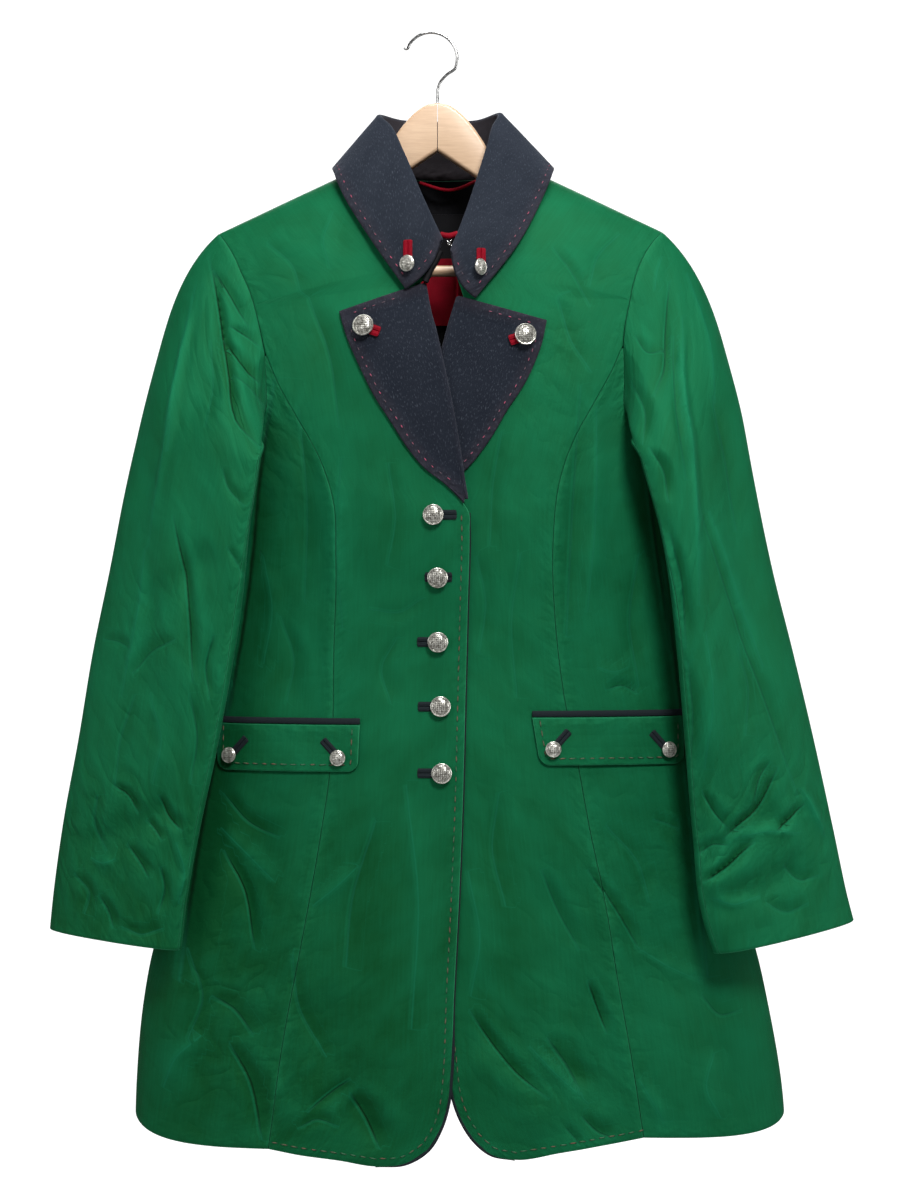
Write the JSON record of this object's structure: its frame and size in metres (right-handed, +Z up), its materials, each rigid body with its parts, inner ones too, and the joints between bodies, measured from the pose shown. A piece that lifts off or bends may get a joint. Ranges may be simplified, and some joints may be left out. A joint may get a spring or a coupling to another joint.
{
  "type": "tyrolean loden jacket on a wooden hanger",
  "caption": "Long fitted single-breasted jacket with a turned-up collar, lapels and flap pockets, hanging on a wooden clothes hanger.",
  "frame": {"origin": "inside the top of the hanger's hook, where a rail bears", "axes": "+Z up; the jacket's front faces -Y; +X is to the viewer's right, the wearer's left"},
  "size_m": [0.7097, 0.1476, 1.0081],
  "materials": {
    "shell_green": "smooth satin-faced cloth",
    "collar_navy": "matt felted wool",
    "lining_black": "smooth lining",
    "trim_red": "satin",
    "button_metal": "antique silver, faceted",
    "hanger_birch": "clear lacquer",
    "hook_steel": "polished wire"
  },
  "bodies": {
    "root": {"back_left": "shell_green", "back_neck_lining": "lining_black", "back_right": "shell_green", "button_collar_left": "button_metal", "button_collar_right": "button_metal", "button_flap_left_1": "button_metal", "button_flap_left_2": "button_metal", "button_flap_right_1": "button_metal", "button_flap_right_2": "button_metal", "button_front_1": "button_metal", "button_front_2": "button_metal", "button_front_3": "button_metal", "button_front_4": "button_metal", "button_front_5": "button_metal", "button_lapel_left": "button_metal", "button_lapel_right": "button_metal", "buttonhole_collar_left": "trim_red", "buttonhole_collar_right": "trim_red", "buttonhole_flap_left_1": "collar_navy", "buttonhole_flap_left_2": "collar_navy", "buttonhole_flap_right_1": "collar_navy", "buttonhole_flap_right_2": "collar_navy", "buttonhole_front_1": "collar_navy", "buttonhole_front_2": "collar_navy", "buttonhole_front_3": "collar_navy", "buttonhole_front_4": "collar_navy", "buttonhole_front_5": "collar_navy", "buttonhole_lapel_left": "trim_red", "buttonhole_lapel_right": "trim_red", "collar": "collar_navy", "front_left": "shell_green", "front_right": "shell_green", "hanger_arm_left": "hanger_birch", "hanger_arm_right": "hanger_birch", "hanger_bar": "hanger_birch", "hanger_hook": "hook_steel", "hanging_loop": "trim_red", "lapel_left": "collar_navy", "lapel_right": "collar_navy", "neck_label": "trim_red", "pocket_flap_left": "shell_green", "pocket_flap_right": "shell_green", "pocket_welt_left": "collar_navy", "pocket_welt_right": "collar_navy", "side_front_left": "shell_green", "side_front_right": "shell_green", "sleeve_under_left": "shell_green", "sleeve_under_right": "shell_green", "sleeve_upper_left": "shell_green", "sleeve_upper_right": "shell_green"}
  },
  "joints": []
}
